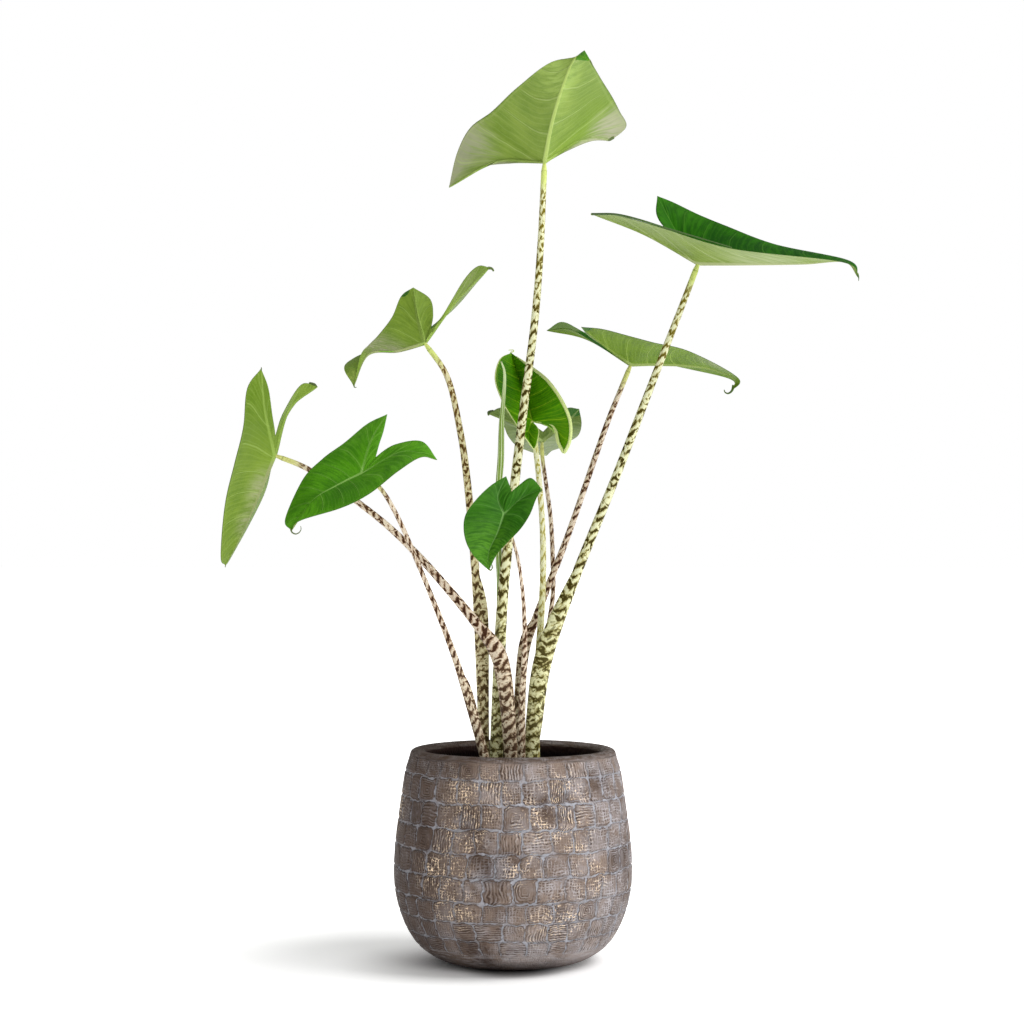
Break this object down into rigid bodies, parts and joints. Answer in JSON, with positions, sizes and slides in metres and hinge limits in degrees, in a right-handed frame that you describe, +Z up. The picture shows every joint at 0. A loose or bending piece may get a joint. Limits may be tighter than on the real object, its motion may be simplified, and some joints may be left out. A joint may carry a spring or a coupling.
{
  "type": "potted alocasia zebrina",
  "caption": "Tall aroid with arrow-shaped leaves on zebra-banded stalks, planted in a bellied stoneware pot with a low relief of crackled tiles.",
  "frame": {"origin": "centre of the pot's foot on the floor", "axes": "+Z up, -Y towards the viewer of the picture, +X to the viewer's right"},
  "size_m": [0.6569, 0.3666, 0.9351],
  "materials": {
    "pot_stoneware": "matte",
    "soil": "matte",
    "corm": "matte",
    "petiole": "satin",
    "blade_pale": "satin",
    "blade_dark": "satin",
    "blade_young": "satin",
    "spear": "satin"
  },
  "bodies": {
    "root": {"pot": "pot_stoneware", "soil": "soil", "corm": "corm", "petiole_top": "petiole", "blade_top": "blade_pale", "petiole_upper_right": "petiole", "blade_upper_right": "blade_pale", "petiole_mid_right": "petiole", "blade_mid_right": "blade_pale", "petiole_upper_left": "petiole", "blade_upper_left": "blade_pale", "petiole_far_left": "petiole", "blade_far_left": "blade_pale", "petiole_left": "petiole", "blade_left": "blade_dark", "petiole_front": "petiole", "blade_front": "blade_dark", "petiole_young": "petiole", "blade_young": "blade_young", "petiole_back": "petiole", "blade_back": "blade_pale", "spear": "spear"}
  },
  "joints": []
}
